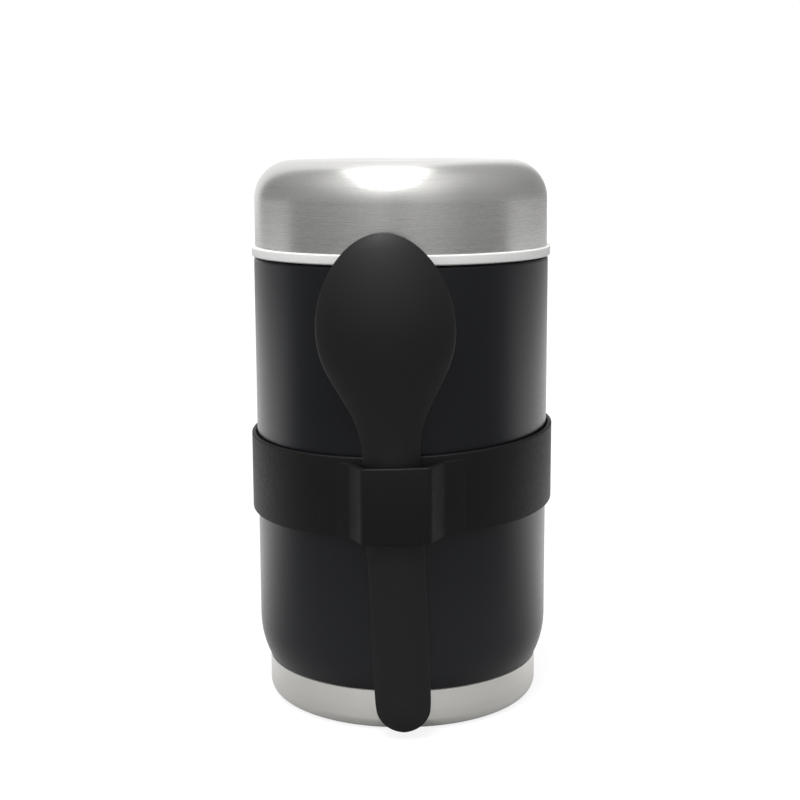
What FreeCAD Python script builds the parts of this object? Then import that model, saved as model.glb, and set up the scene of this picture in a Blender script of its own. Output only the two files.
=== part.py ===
import FreeCAD, Part

# Insulated food jar with a screw-on cup lid and a spoon held by a strap.
# Millimetres. Origin at the centre of the foot, +Z up, the spoon faces -Y.

import math
import os
from FreeCAD import Placement, Rotation, Vector

# Driving dimensions
BODY_R = 47.5
SHOULDER_Z = 145.0
BASE_R = 44.45
BASE_H = 13.0
LID_R = 47.1
LID_TOP_Z = 175.7
LIP_Z = 156.0
MOUTH_R = 37.3
STEEL = 0.6
PLASTIC = 1.8
FIT = 0.05
MOVING_GAP = 0.1

# Double-walled body and base cup
BODY_STRAIGHT_Z = 26.0
BASE_CURVE_R = 28.0
NECK_R = 41.0
SKIRT_R = BASE_R - STEEL - FIT
SKIRT_BOTTOM_Z = 4.0
PLATE_Z = 6.0
DIMPLE_R = 5.0
VESSEL_R = 41.5
VESSEL_FLOOR_Z = 21.5
VESSEL_SHOULDER_Z = 137.0
FOIL = 0.15
FOIL_BOTTOM_Z = 34.0
FOIL_TOP_Z = 132.0
FOOT_FILLET = 3.8
RECESS_R = 33.0
RECESS_DEPTH = 1.2

# Cup lid
RIM_R = 48.2
RIM_BOTTOM_Z = 145.4
RIM_TOP_Z = 148.5
RIM_EDGE = 0.5
DOME_FILLET = 12.3
LINER_R = 43.6
LINER_TOP_Z = 171.9
CUP_FOAM_R = 33.0

# Stopper and its vent
STOPPER_R = 35.6
STOPPER_BOTTOM_Z = 136.5
GASKET_R = 39.6
GASKET_H = 1.5
FLANGE_H = 1.6
GRIP_R = 38.4
GRIP_H = 5.4
GRIP_NOTCHES = 24
TUBE_R = 6.0
WELL_R = 8.0
BUTTON_R = 7.7
VENT_TRAVEL = 2.0
STEM_R = 1.5
STEM_HOLE_R = 2.5
VALVE_R = 4.4
SPRING_R = 2.9
SPRING_WIRE_R = 0.35
SPRING_TURNS = 5

# Strap and its pocket
STRAP_GAP = 0.3
STRAP_WALL = 1.5
STRAP_MID_Z = 77.1
STRAP_H = 25.3
STRAP_SLOPE_X = 0.0285
STRAP_SLOPE_Y = 0.03
POCKET_CENTRE_X = 0.4
POCKET_HALF_W = 10.5
POCKET_FRONT_Y = -56.15
POCKET_ROOT_X = 14.2
POCKET_ROOT_Y = -48.3
POCKET_FLARE_X = 20.5
POCKET_LOWER = 1.8
SLOT_CLEARANCE = 0.3

# Spoon, upright with its back to the front, drawn along its own length
SPOON_X = -0.55
SPOON_FACE_Y = -49.8
SPOON_PIVOT_Z = 75.0
SPOON_TILT_DEG = 2.38
SPOON_BOTTOM = -73.0
SPOON_TIP = 80.4
BOWL_WIDEST = 53.5
BOWL_HALF_W = 20.85
NECK_TOP = 13.0
HANDLE_HALF_W = 8.75
HANDLE_T = 4.0
BOWL_DEPTH = 8.8
BOWL_WALL = 2.0
SPOON_EDGE = 1.2

UP = Vector(0, 0, 1)
ORIGIN = Vector(0, 0, 0)


# Drawing helpers

def rounded_path(corners):
    """Edges through (x, y, radius) corners, each rounded by an arc of its radius."""
    points = [Vector(x, y, 0) for x, y, _ in corners]
    edges = []
    start = points[0]
    for i in range(1, len(points) - 1):
        corner = points[i]
        radius = corners[i][2]
        if not radius:
            edges.append(Part.makeLine(start, corner))
            start = corner
            continue
        back = (points[i - 1] - corner).normalize()
        ahead = (points[i + 1] - corner).normalize()
        half = back.getAngle(ahead) / 2
        reach = radius / math.tan(half)
        arc_start = corner + back * reach
        arc_end = corner + ahead * reach
        middle = corner + (back + ahead).normalize() * (radius / math.sin(half) - radius)
        if start.distanceToPoint(arc_start) > 1e-4:
            edges.append(Part.makeLine(start, arc_start))
        edges.append(Part.Arc(arc_start, middle, arc_end).toShape())
        start = arc_end
    if start.distanceToPoint(points[-1]) > 1e-4:
        edges.append(Part.makeLine(start, points[-1]))
    return edges


def turned(corners):
    """A closed outline of (radius, height, fillet) corners, turned about the jar's axis."""
    face = Part.Face(Part.Wire(rounded_path(corners + [corners[0]])))
    face.rotate(ORIGIN, Vector(1, 0, 0), 90)
    return face.revolve(ORIGIN, UP, 360)


def offset_corners(corners, wall):
    """The corners moved by the wall to the left of their path, with fillets to match."""
    points = [Vector(x, y, 0) for x, y, _ in corners]
    ways = [(b - a).normalize() for a, b in zip(points, points[1:])]
    moved = []
    for i, point in enumerate(points):
        before = ways[max(i - 1, 0)]
        after = ways[min(i, len(ways) - 1)]
        left = Vector(-before.y - after.y, before.x + after.x, 0).normalize()
        shifted = point + left * (wall / (left.y * before.x - left.x * before.y))
        radius = corners[i][2]
        if radius:
            turn = before.x * after.y - before.y * after.x
            radius = max(radius - math.copysign(wall, turn), 0)
        moved.append((shifted.x, shifted.y, radius))
    return moved


def turned_sheet(corners, wall):
    """A sheet with its wall to the left of an open path, turned about the jar's axis."""
    return turned(corners + offset_corners(corners, wall)[::-1])


def disc(radius, bottom, top):
    return Part.makeCylinder(radius, top - bottom, Vector(0, 0, bottom))


def ring(inner_r, outer_r, bottom, top):
    return disc(outer_r, bottom, top).cut(disc(inner_r, bottom, top))


# Double-walled body

def outer_shell():
    """Coated shell: skirt inside the base cup, curved foot, side, shoulder, neck and lip."""
    lean = math.asin((BODY_STRAIGHT_Z - BASE_H) / BASE_CURVE_R)
    curve_start_r = BODY_R - BASE_CURVE_R * (1 - math.cos(lean))
    curve_corner_z = BODY_STRAIGHT_Z - BASE_CURVE_R * math.tan(lean / 2)
    return turned_sheet([
        (SKIRT_R, SKIRT_BOTTOM_Z, 0),
        (SKIRT_R, BASE_H, 0),
        (curve_start_r, BASE_H, 0),
        (BODY_R, curve_corner_z, BASE_CURVE_R),
        (BODY_R, SHOULDER_Z, 0.9),
        (NECK_R, SHOULDER_Z, 1.2),
        (NECK_R, LIP_Z, 1.2),
        (MOUTH_R + STEEL, LIP_Z, 0),
    ], STEEL)


def inner_vessel():
    """Food vessel: rounded floor, straight side and a shoulder up into the mouth."""
    inside = [
        (0, VESSEL_FLOOR_Z, 0),
        (VESSEL_R, VESSEL_FLOOR_Z, 8.0),
        (VESSEL_R, VESSEL_SHOULDER_Z, 4.0),
        (MOUTH_R, VESSEL_SHOULDER_Z + 5.0, 4.0),
        (MOUTH_R, LIP_Z, 0),
    ]
    return turned_sheet(inside, -STEEL)


def radiation_foil():
    """Foil wrapped round the vessel inside the vacuum, against radiated heat."""
    inner_r = VESSEL_R + STEEL + FIT
    return ring(inner_r, inner_r + FOIL, FOIL_BOTTOM_Z, FOIL_TOP_Z)


def vacuum_plate():
    """Dished plate welded into the skirt, with a dimple for the evacuation hole."""
    rim_r = SKIRT_R - 2 * STEEL - FIT
    return turned_sheet([
        (1.0, PLATE_Z + 1.5, 0),
        (DIMPLE_R, PLATE_Z + 1.5, 0.9),
        (DIMPLE_R + 1.5, PLATE_Z, 0.9),
        (rim_r - 6.0, PLATE_Z, 2.0),
        (rim_r - 4.0, PLATE_Z + 3.0, 2.0),
        (rim_r, PLATE_Z + 3.0, 1.2),
        (rim_r, SKIRT_BOTTOM_Z + 0.5, 0),
    ], STEEL)


def vacuum_seal():
    """Bead of solder that closes the evacuation hole from outside."""
    return turned([(0, PLATE_Z + 0.4, 0), (3.2, PLATE_Z + 0.4, 0.9),
                   (3.2, PLATE_Z + 1.5, 0), (0, PLATE_Z + 1.5, 0)])


def getter_holder():
    """Shallow stamped cup on the plate's vacuum side, which carries the getter."""
    cup = turned_sheet([(0, 0, 0), (5.0, 0, 0.8), (5.0, 3.0, 0)], 0.4)
    cup.translate(Vector(20, 0, PLATE_Z + STEEL))
    return cup


def getter():
    pellet = Part.makeCylinder(4.3, 2.0, Vector(20, 0, PLATE_Z + STEEL + 0.4))
    return pellet.makeFillet(0.4, [pellet.Edges[0]])


def base_cup():
    """Bare steel cup over the foot: rounded lower edge, ring foot and a shallow recess."""
    return turned_sheet([
        (0, RECESS_DEPTH, 0),
        (RECESS_R, RECESS_DEPTH, 0),
        (RECESS_R, 0, 0),
        (BASE_R, 0, FOOT_FILLET),
        (BASE_R, BASE_H - FIT, 0),
    ], STEEL)


# Cup lid

def cup_shell():
    return turned_sheet([
        (LID_R, RIM_TOP_Z, 0),
        (LID_R, LID_TOP_Z, DOME_FILLET),
        (0, LID_TOP_Z, 0),
    ], STEEL)


def cup_liner():
    """White liner, the bowl's inside; its lower edge spreads into the rim that shows."""
    outer_r = LINER_R + PLASTIC
    top = LINER_TOP_Z + PLASTIC
    return turned([
        (0, LINER_TOP_Z, 0),
        (LINER_R, LINER_TOP_Z, 9.0),
        (LINER_R, SHOULDER_Z + MOVING_GAP, 0),
        (LINER_R + 1.4, SHOULDER_Z + MOVING_GAP, 0),
        (LINER_R + 1.4, RIM_BOTTOM_Z, 0),
        (RIM_R, RIM_BOTTOM_Z, RIM_EDGE),
        (RIM_R, RIM_TOP_Z, RIM_EDGE),
        (LID_R - STEEL - FIT, RIM_TOP_Z, 0),
        (LID_R - STEEL - FIT, RIM_TOP_Z + 4.0, 0),
        (outer_r, RIM_TOP_Z + 5.0, 0),
        (outer_r, top, 9.0 + PLASTIC),
        (0, top, 0),
    ])


def cup_foam():
    """Insulating disc between the liner and the shell."""
    return disc(CUP_FOAM_R, LINER_TOP_Z + PLASTIC, LID_TOP_Z - STEEL)


# Stopper

GASKET_Z = LIP_Z + MOVING_GAP
FLANGE_Z = GASKET_Z + GASKET_H
GRIP_Z = FLANGE_Z + FLANGE_H
GRIP_TOP_Z = GRIP_Z + GRIP_H
WELL_FLOOR_Z = GRIP_Z + 0.4
PLUG_FLOOR = 2.0


def stopper_body():
    """Lower moulding: plug wall, flange over the lip and the vent tube in its floor."""
    return turned([
        (STEM_HOLE_R, STOPPER_BOTTOM_Z, 0),
        (STOPPER_R, STOPPER_BOTTOM_Z, 1.5),
        (STOPPER_R, FLANGE_Z, 0),
        (GASKET_R + 0.3, FLANGE_Z, 0),
        (GASKET_R + 0.3, GRIP_Z, 0),
        (STOPPER_R - PLASTIC, GRIP_Z, 0),
        (STOPPER_R - PLASTIC, STOPPER_BOTTOM_Z + PLUG_FLOOR, 0),
        (TUBE_R, STOPPER_BOTTOM_Z + PLUG_FLOOR, 0),
        (TUBE_R, GRIP_Z, 0),
        (TUBE_R - 1.5, GRIP_Z, 0),
        (TUBE_R - 1.5, STOPPER_BOTTOM_Z + PLUG_FLOOR, 0),
        (STEM_HOLE_R, STOPPER_BOTTOM_Z + PLUG_FLOOR, 0),
    ])


def stopper_cover():
    """Upper moulding: a notched grip closed on top, with a well for the vent button."""
    cover = turned([
        (TUBE_R - 1.5, GRIP_Z, 0),
        (GRIP_R, GRIP_Z, 0),
        (GRIP_R, GRIP_TOP_Z, 1.5),
        (WELL_R + 1.6, GRIP_TOP_Z, 0.6),
        (WELL_R, GRIP_TOP_Z - 1.0, 0),
        (WELL_R, WELL_FLOOR_Z, 0),
        (TUBE_R - 1.5, WELL_FLOOR_Z, 0),
    ])
    notch = Part.makeCylinder(2.0, GRIP_H, Vector(GRIP_R + 1.0, 0, GRIP_Z))
    notches = []
    for i in range(GRIP_NOTCHES):
        turned_notch = notch.copy()
        turned_notch.rotate(ORIGIN, UP, 360 * i / GRIP_NOTCHES)
        notches.append(turned_notch)
    return cover.cut(notches)


def stopper_foam():
    """Insulating foam that fills the stopper round the vent tube."""
    return ring(TUBE_R, STOPPER_R - PLASTIC, STOPPER_BOTTOM_Z + PLUG_FLOOR, GRIP_Z)


def stopper_gasket():
    return ring(STOPPER_R + FIT, GASKET_R, GASKET_Z, FLANGE_Z)


# Vent, pressed to let air in before the stopper is unscrewed

BUTTON_Z = WELL_FLOOR_Z + VENT_TRAVEL + MOVING_GAP
VALVE_TOP_Z = STOPPER_BOTTOM_Z - MOVING_GAP
VALVE_Z = VALVE_TOP_Z - 1.4
STEM_FOOT_Z = VALVE_Z - 1.0


def vent_button():
    """Round push button with a socket underneath for the stem."""
    return turned([
        (STEM_R + FIT, BUTTON_Z, 0),
        (BUTTON_R, BUTTON_Z, 0.4),
        (BUTTON_R, GRIP_TOP_Z + 0.8, 0.9),
        (0, GRIP_TOP_Z + 0.8, 0),
        (0, BUTTON_Z + 1.6, 0),
        (STEM_R + FIT, BUTTON_Z + 1.6, 0),
    ])


def vent_stem():
    """Stem through the stopper's floor, with a foot that carries the valve seal."""
    return turned([
        (0, STEM_FOOT_Z, 0),
        (VALVE_R, STEM_FOOT_Z, 0.4),
        (VALVE_R, VALVE_Z, 0),
        (STEM_R, VALVE_Z, 0),
        (STEM_R, BUTTON_Z + 1.6, 0),
        (0, BUTTON_Z + 1.6, 0),
    ])


def vent_seal():
    return ring(STEM_R, VALVE_R, VALVE_Z, VALVE_TOP_Z)


def vent_spring():
    """Return spring round the stem, from the stopper's floor up to the button."""
    bottom = STOPPER_BOTTOM_Z + PLUG_FLOOR + SPRING_WIRE_R
    height = BUTTON_Z - SPRING_WIRE_R - bottom
    path = Part.makeHelix(height / SPRING_TURNS, height, SPRING_R)
    section = Part.Wire(Part.makeCircle(SPRING_WIRE_R, Vector(SPRING_R, 0, 0), Vector(0, 1, 0)))
    spring = Part.Wire(path).makePipeShell([section], True, True)
    spring.translate(Vector(0, 0, bottom))
    return spring


# Spoon

def smooth(share):
    """Eased step from 0 to 1, flat at both ends."""
    t = min(max(share, 0), 1)
    return t ** 3 * (10 - 15 * t + 6 * t ** 2)


def spoon_half_width(s):
    """Half the spoon's width at a distance s along it from the middle of the strap."""
    if s > BOWL_WIDEST:
        share = (s - BOWL_WIDEST) / (SPOON_TIP - BOWL_WIDEST)
        return BOWL_HALF_W * math.sqrt(1 - share ** 1.7)
    end_centre = SPOON_BOTTOM + HANDLE_HALF_W
    if s < end_centre:
        return math.sqrt(HANDLE_HALF_W ** 2 - (end_centre - s) ** 2)
    share = (s - NECK_TOP) / (BOWL_WIDEST - NECK_TOP)
    return HANDLE_HALF_W + (BOWL_HALF_W - HANDLE_HALF_W) * smooth(share)


def spoon_height(s):
    """How far the spoon's back stands out from its rim plane."""
    if s > BOWL_WIDEST:
        share = (s - BOWL_WIDEST) / (SPOON_TIP - BOWL_WIDEST)
        return SPOON_EDGE + (BOWL_DEPTH - SPOON_EDGE) * math.sqrt(1 - share ** 2)
    end = smooth((s - SPOON_BOTTOM + 2.0) / 8.0)
    handle = SPOON_EDGE + (HANDLE_T - SPOON_EDGE) * end
    share = (s - NECK_TOP) / (BOWL_WIDEST - NECK_TOP)
    return handle + (BOWL_DEPTH - HANDLE_T) * smooth(share)


def spoon_section(s):
    """Crescent across the spoon: arched back, square edges and a hollow front."""
    half = spoon_half_width(s)
    back = spoon_height(s)
    hollow = 0.15
    if s > NECK_TOP:
        hollow = max(back - BOWL_WALL - (HANDLE_T - BOWL_WALL - hollow) *
                     (1 - smooth((s - NECK_TOP) / 12.0)), hollow)
    lip = min(SPOON_EDGE, half * 0.4)
    edge = min(SPOON_EDGE, back - 0.05)
    front = Part.Arc(Vector(-half + lip, 0, s), Vector(0, -hollow, s), Vector(half - lip, 0, s))
    arch = Part.Arc(Vector(half, -edge, s), Vector(0, -back, s), Vector(-half, -edge, s))
    return Part.Wire([
        front.toShape(),
        Part.makeLine(Vector(half - lip, 0, s), Vector(half, 0, s)),
        Part.makeLine(Vector(half, 0, s), Vector(half, -edge, s)),
        arch.toShape(),
        Part.makeLine(Vector(-half, -edge, s), Vector(-half, 0, s)),
        Part.makeLine(Vector(-half, 0, s), Vector(-half + lip, 0, s)),
    ])


def spoon_placement():
    tilt = Rotation(Vector(0, 1, 0), -SPOON_TILT_DEG)
    return Placement(Vector(SPOON_X, SPOON_FACE_Y, SPOON_PIVOT_Z), tilt)


def spoon():
    """One moulding, lofted along its length from the handle's end to the bowl's tip."""
    end_centre = SPOON_BOTTOM + HANDLE_HALF_W
    stations = []
    for i in range(1, 6):
        stations.append(end_centre - HANDLE_HALF_W * math.cos(math.radians(18 * i)) * 0.99)
    stations += [-60.0, -56.0, -50.0, -40.0, -20.0, 0.0, 10.0]
    bowl = BOWL_WIDEST - NECK_TOP
    stations += [NECK_TOP + bowl * i / 8 for i in range(1, 9)]
    for i in range(1, 7):
        stations.append(BOWL_WIDEST + (SPOON_TIP - BOWL_WIDEST) * math.sin(math.radians(15 * i)) * 0.995)
    body = Part.makeLoft([spoon_section(s) for s in stations], True, False)
    body.Placement = spoon_placement()
    return body


# Strap

def tilted_slab(height, middle_z, reach):
    """Block with the strap's slanted top and bottom, used to trim it."""
    slab = Part.makeBox(2 * reach, 2 * reach, height, Vector(-reach, -reach, -height / 2))
    slab.rotate(ORIGIN, Vector(0, 1, 0), -math.degrees(math.atan(STRAP_SLOPE_X)))
    slab.rotate(ORIGIN, Vector(1, 0, 0), math.degrees(math.atan(STRAP_SLOPE_Y)))
    slab.translate(Vector(0, 0, middle_z))
    return slab


def pocket_block(bottom, top):
    """Solid block of the pocket's outside, flaring into the band on both sides."""
    strap_r = BODY_R + STRAP_GAP + STRAP_WALL
    flare_y = -math.sqrt((strap_r - 0.6) ** 2 - POCKET_FLARE_X ** 2)
    side = [
        (POCKET_FLARE_X, flare_y, 0),
        (POCKET_ROOT_X, POCKET_ROOT_Y, 3.2),
        (POCKET_HALF_W, POCKET_FRONT_Y + 0.5, 2.0),
    ]
    left = [(POCKET_CENTRE_X - x, y, fillet) for x, y, fillet in side]
    right = [(POCKET_CENTRE_X + x, y, fillet) for x, y, fillet in side[::-1]]
    root = (POCKET_CENTRE_X, 1 - strap_r, 0)
    front = (POCKET_CENTRE_X, POCKET_FRONT_Y, 40.0)
    edges = rounded_path([root] + left + [front] + right + [root])
    block = Part.Face(Part.Wire(edges)).extrude(Vector(0, 0, top - bottom))
    block.translate(Vector(0, 0, bottom))
    return block


def spoon_slot(bottom, top):
    """The handle's section with clearance all round, run along the spoon's own axis."""
    half = HANDLE_HALF_W + SLOT_CLEARANCE
    back = HANDLE_T + SLOT_CLEARANCE
    edge = SPOON_EDGE + SLOT_CLEARANCE
    arch = Part.Arc(Vector(half, -edge, 0), Vector(0, -back, 0), Vector(-half, -edge, 0))
    section = Part.Wire([
        arch.toShape(),
        Part.makeLine(Vector(-half, -edge, 0), Vector(-half, 3, 0)),
        Part.makeLine(Vector(-half, 3, 0), Vector(half, 3, 0)),
        Part.makeLine(Vector(half, 3, 0), Vector(half, -edge, 0)),
    ])
    slot = Part.Face(section).extrude(Vector(0, 0, top - bottom))
    slot.translate(Vector(0, 0, bottom - SPOON_PIVOT_Z))
    slot.Placement = spoon_placement().multiply(slot.Placement)
    strap_r = BODY_R + STRAP_GAP + STRAP_WALL
    return slot.cut(disc(strap_r, bottom - 20, top + 20))


def strap():
    """Silicone band round the body with a second layer in front that holds the spoon."""
    inner_r = BODY_R + STRAP_GAP
    bottom = STRAP_MID_Z - STRAP_H
    top = STRAP_MID_Z + STRAP_H
    reach = BODY_R + 20
    band = ring(inner_r, inner_r + STRAP_WALL, bottom, top)
    band = band.common(tilted_slab(STRAP_H, STRAP_MID_Z, reach))
    pocket = pocket_block(bottom, top).cut(disc(inner_r + STRAP_WALL / 2, bottom, top))
    pocket = pocket.common(tilted_slab(STRAP_H - POCKET_LOWER, STRAP_MID_Z - POCKET_LOWER / 2, reach))
    return band.fuse(pocket).cut(spoon_slot(bottom, top)).removeSplitter()


SUBPARTS = [
    outer_shell, inner_vessel, radiation_foil, vacuum_plate, vacuum_seal, getter_holder, getter,
    base_cup, cup_shell, cup_liner, cup_foam, stopper_body, stopper_cover, stopper_foam,
    stopper_gasket, vent_button, vent_stem, vent_seal, vent_spring, strap, spoon,
]

os.makedirs("parts", exist_ok=True)
for make in SUBPARTS:
    shape = make()
    if shape.ShapeType != "Solid":
        shape = shape.Solids[0]
    print(make.__name__, shape.isValid(), round(shape.Volume, 1), shape.BoundBox)
    shape.exportStep("parts/" + make.__name__ + ".step")
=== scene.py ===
# %% [markdown]
# # An insulated food jar with a spoon
# The jar was packed as solids at their real size. This file gives each piece its looks:
# finer meshes where an edge or a curve shows, and a material for every surface. Lengths
# are in metres. The solids are loaded first, because every size below is read from them.

# %% Load the jar's solids
import bpy
import bmesh
import math
from mathutils import Matrix, Vector


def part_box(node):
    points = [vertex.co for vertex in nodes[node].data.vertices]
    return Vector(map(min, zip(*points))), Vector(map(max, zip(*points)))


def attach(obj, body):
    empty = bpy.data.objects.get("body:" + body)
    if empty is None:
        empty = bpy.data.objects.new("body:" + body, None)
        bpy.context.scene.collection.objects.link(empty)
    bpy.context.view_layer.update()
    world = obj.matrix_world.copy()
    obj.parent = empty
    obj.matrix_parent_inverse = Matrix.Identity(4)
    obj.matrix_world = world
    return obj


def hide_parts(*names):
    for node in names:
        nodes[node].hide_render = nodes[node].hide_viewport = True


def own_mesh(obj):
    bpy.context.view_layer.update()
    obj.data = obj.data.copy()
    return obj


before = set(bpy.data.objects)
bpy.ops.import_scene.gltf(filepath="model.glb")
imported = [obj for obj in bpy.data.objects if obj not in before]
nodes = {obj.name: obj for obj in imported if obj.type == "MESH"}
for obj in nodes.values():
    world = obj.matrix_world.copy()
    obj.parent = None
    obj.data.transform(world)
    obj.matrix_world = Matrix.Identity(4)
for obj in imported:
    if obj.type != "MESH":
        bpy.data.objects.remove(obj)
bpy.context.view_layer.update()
print("loaded", len(nodes), "nodes")

# %% [markdown]
# ## Sizes read from the solids
# A turned piece is described by radii and heights, so a small helper reads a node's box
# once and returns its outer radius, its bottom and its top.

# %% Sizes
MM = 0.001


def size_of(node):
    """Outer radius, bottom and top of a node that is centred on the jar's axis."""
    low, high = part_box(node)
    return high.x, low.z, high.z


lid_r, lid_bottom, lid_top = size_of("cup_shell")
rim_r, liner_bottom, liner_top = size_of("cup_liner")
base_r, base_bottom, base_top = size_of("base_cup")
body_r, skirt_bottom, lip_z = size_of("outer_shell")
vessel_r, vessel_bottom, vessel_top = size_of("inner_vessel")
strap_r = size_of("strap")[0]
print("body radius", round(body_r, 4), "lid top", round(lid_top, 4))

# %% [markdown]
# ## Starting a piece
# Most pieces of a jar are turned: a profile is drawn on one side of the axis and spun
# round it. It could be made from a cylinder with many loops, but a profile keeps each
# radius and fillet exact. The profile starts as one point, which is a plane merged at
# its centre, and grows by extruding that point from corner to corner.

# %% Helpers for profiles


def rounded(corners, step_deg=9.0):
    """Points through (radius, height, fillet) corners, with each fillet as a round stretch."""
    points = [Vector((x, z)) for x, z, fillet in corners]
    out = [points[0]]
    for i in range(1, len(points) - 1):
        corner = points[i]
        fillet = corners[i][2]
        if not fillet:
            out.append(corner)
            continue
        back = (points[i - 1] - corner).normalized()
        ahead = (points[i + 1] - corner).normalized()
        half = back.angle(ahead) / 2
        centre = corner + (back + ahead).normalized() * (fillet / math.sin(half))
        start = corner + back * (fillet / math.tan(half)) - centre
        turn = math.pi - 2 * half
        side = 1 if back.x * ahead.y - back.y * ahead.x < 0 else -1
        steps = max(2, math.ceil(math.degrees(turn) / step_deg))
        for k in range(steps + 1):
            angle = side * turn * k / steps
            spoke = Matrix.Rotation(angle, 2) @ start
            out.append(centre + spoke)
    out.append(points[-1])
    return out


def start_point(name, x, y, z):
    """A new object with one vertex, left in edit mode."""
    bpy.ops.object.select_all(action="DESELECT")
    bpy.ops.mesh.primitive_plane_add(size=MM, location=(0, 0, 0))
    piece = bpy.context.object
    piece.name = name
    piece.data.name = name
    bpy.ops.object.mode_set(mode="EDIT")
    bpy.ops.mesh.select_mode(type="VERT")
    bpy.ops.mesh.select_all(action="SELECT")
    bpy.ops.mesh.merge(type="CENTER")
    bpy.ops.transform.translate(value=(x, y, z))
    return piece


def extrude_to(step):
    """Extrudes what is selected by a step."""
    bpy.ops.mesh.extrude_region_move(TRANSFORM_OT_translate={"value": tuple(step)})


def finish_mesh(smooth_deg=35):
    """Merges doubles, turns the faces outwards, leaves edit mode and shades the piece."""
    bpy.ops.mesh.select_all(action="SELECT")
    bpy.ops.mesh.remove_doubles(threshold=0.002 * MM)
    bpy.ops.mesh.normals_make_consistent(inside=False)
    bpy.ops.object.mode_set(mode="OBJECT")
    bpy.ops.object.shade_smooth_by_angle(angle=math.radians(smooth_deg))


def spun(name, corners, steps=144, step_deg=9.0, smooth_deg=35):
    """A turned piece from its profile corners."""
    points = rounded(corners, step_deg)
    piece = start_point(name, points[0].x, 0, points[0].y)
    for before, after in zip(points, points[1:]):
        extrude_to((after.x - before.x, 0, after.y - before.y))
    bpy.ops.mesh.select_all(action="SELECT")
    bpy.ops.mesh.spin(steps=steps, angle=math.tau, center=(0, 0, 0), axis=(0, 0, 1))
    finish_mesh(smooth_deg)
    print(name, len(piece.data.polygons), "faces")
    return piece


def closed(corners):
    """The corners of a closed profile, back to the first one."""
    return corners + [corners[0]]


def sheet_profile(corners, wall):
    """Closes an open path into a sheet with its wall to the left of the path."""
    points = [Vector((x, z)) for x, z, fillet in corners]
    ways = [(b - a).normalized() for a, b in zip(points, points[1:])]
    inner = []
    for i, point in enumerate(points):
        before = ways[max(i - 1, 0)]
        after = ways[min(i, len(ways) - 1)]
        left = Vector((-before.y - after.y, before.x + after.x)).normalized()
        shifted = point + left * (wall / (left.y * before.x - left.x * before.y))
        turn = before.x * after.y - before.y * after.x
        fillet = corners[i][2]
        if fillet:
            fillet = max(fillet - math.copysign(wall, turn), 0.0)
        inner.append((shifted.x, shifted.y, fillet))
    return closed(corners + inner[::-1])


def select_only(*pieces):
    """Selects these pieces and nothing else, and makes the last one active."""
    bpy.ops.object.select_all(action="DESELECT")
    for piece in pieces:
        piece.select_set(True)
    bpy.context.view_layer.objects.active = pieces[-1]


def carry(piece, body, node):
    """Puts a finished piece on its body in place of its solid."""
    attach(piece, body)
    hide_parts(node)


STEEL = 0.6 * MM
FIT = 0.05 * MM

# %% [markdown]
# ## Cup lid shell
# The lid is a deep-drawn steel dome with a large even radius between side and top. It
# could be a flattened sphere, but then its side would bulge. An outline of three corners,
# with one fillet at the middle one, gives the straight side and the even radius.

# %% Cup lid shell
dome_fillet = 12.3 * MM
cup_shell = spun("cup_shell_skin", sheet_profile([
    (lid_r, lid_bottom, 0),
    (lid_r, lid_top, dome_fillet),
    (0, lid_top, 0),
], STEEL), steps=192, step_deg=4.5)
carry(cup_shell, "cup", "cup_shell")

# %% [markdown]
# ## Cup lid liner
# The white moulding inside the dome is the bowl that food is eaten from. Its lower edge
# spreads into the white rim that shows between steel and coat. It is one closed profile:
# up the inside, over the top, down the outside, then round the rim.

# %% Cup lid liner
plastic = 1.8 * MM
rim_height = 3.1 * MM
rim_edge = 0.5 * MM
liner_fillet = 9 * MM
liner_step = 1.4 * MM
rim_bottom = lid_bottom - rim_height
rim_top = lid_bottom - 0.02 * MM
seat_r = lid_r - STEEL - FIT
liner_r = lid_r - 3.5 * MM
liner_in_top = liner_top - plastic
cup_liner = spun("cup_liner_skin", closed([
    (0, liner_in_top, 0),
    (liner_r, liner_in_top, liner_fillet),
    (liner_r, liner_bottom, 0.4 * MM),
    (liner_r + liner_step, liner_bottom, 0),
    (liner_r + liner_step, rim_bottom, 0),
    (rim_r, rim_bottom, rim_edge),
    (rim_r, rim_top, rim_edge),
    (seat_r, rim_top, 0),
    (seat_r, lid_bottom + 4 * MM, 0),
    (liner_r + plastic, lid_bottom + 5 * MM, 0),
    (liner_r + plastic, liner_top, liner_fillet + plastic),
    (0, liner_top, 0),
]), steps=192)
carry(cup_liner, "cup", "cup_liner")

# %% [markdown]
# ## Outer shell
# One sheet runs from the skirt inside the base cup, up the coated side, over the shoulder
# and up the neck to the lip. The curve at the foot is a fillet of 28 mm cut short by the
# base cup, so its lower tangent leans by the angle that the arc still has to turn.

# %% Outer shell
joint_gap = 0.3 * MM
base_joint = base_top + joint_gap
straight_z = 26 * MM
foot_curve = 28 * MM
shoulder_z = rim_bottom - 0.4 * MM
neck_r = liner_r - 2.6 * MM
lean = math.asin((straight_z - base_joint) / foot_curve)
curve_start = body_r - foot_curve * (1 - math.cos(lean))
curve_corner = straight_z - foot_curve * math.tan(lean / 2)
skirt_r = base_r - STEEL - FIT
mouth_r = 37.3 * MM
outer_shell = spun("outer_shell_skin", sheet_profile([
    (skirt_r, skirt_bottom, 0),
    (skirt_r, base_joint, 0),
    (curve_start, base_joint, 0),
    (body_r, curve_corner, foot_curve),
    (body_r, shoulder_z, 0.9 * MM),
    (neck_r, shoulder_z, 1.2 * MM),
    (neck_r, lip_z, 1.2 * MM),
    (mouth_r + STEEL, lip_z, 0),
], STEEL), steps=192, step_deg=6)
carry(outer_shell, "jar", "outer_shell")

# %% [markdown]
# ## Inner vessel
# The vessel that holds the food is a second turned sheet. It meets the outer shell only
# at the lip, where the two are welded, and the space between them is the vacuum.

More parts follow.
